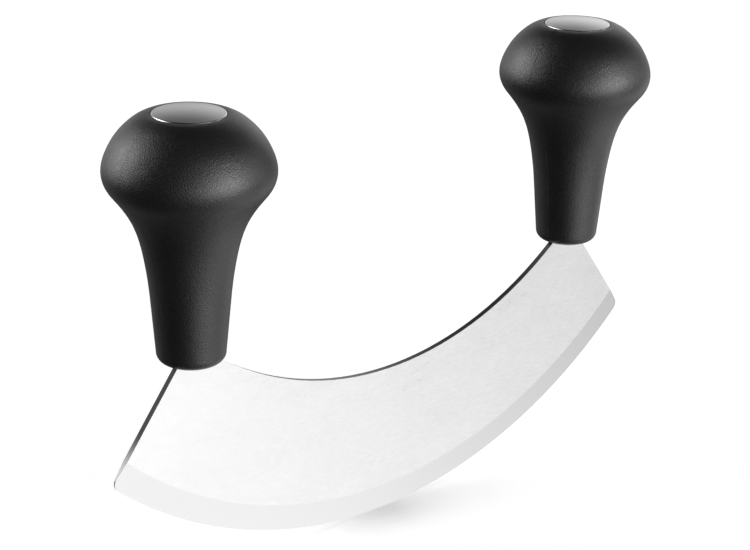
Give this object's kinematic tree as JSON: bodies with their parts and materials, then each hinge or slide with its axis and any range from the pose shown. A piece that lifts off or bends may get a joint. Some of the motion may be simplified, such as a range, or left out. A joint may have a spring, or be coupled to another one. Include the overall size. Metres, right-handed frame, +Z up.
{
  "type": "mezzaluna",
  "caption": "Rocking mincing knife: a ground steel crescent blade under upright black mushroom knobs, each closed by a domed steel cap.",
  "frame": {"origin": "lowest point of the cutting edge, midway through the blade's thickness", "axes": "+X along the blade towards the right knob, +Y through the blade's thickness, +Z up along the knobs"},
  "size_m": [0.18, 0.0406, 0.1211],
  "materials": {
    "blade_steel": "satin ground, fine grain along the blade",
    "cap_steel": "satin with a polished rim",
    "fastener_steel": "plain bright stainless",
    "knob_plastic": "black, fine spark-eroded grain",
    "seal_rubber": "matt black"
  },
  "bodies": {
    "root": {"blade": "blade_steel", "left_handle": "knob_plastic", "left_grommet": "seal_rubber", "left_tang_stud": "fastener_steel", "left_stud_rivet": "fastener_steel", "left_washer": "fastener_steel", "left_spring_washer": "fastener_steel", "left_nut": "fastener_steel", "left_cap": "cap_steel", "left_cap_seal": "seal_rubber", "right_handle": "knob_plastic", "right_grommet": "seal_rubber", "right_tang_stud": "fastener_steel", "right_stud_rivet": "fastener_steel", "right_washer": "fastener_steel", "right_spring_washer": "fastener_steel", "right_nut": "fastener_steel", "right_cap": "cap_steel", "right_cap_seal": "seal_rubber"}
  },
  "joints": []
}
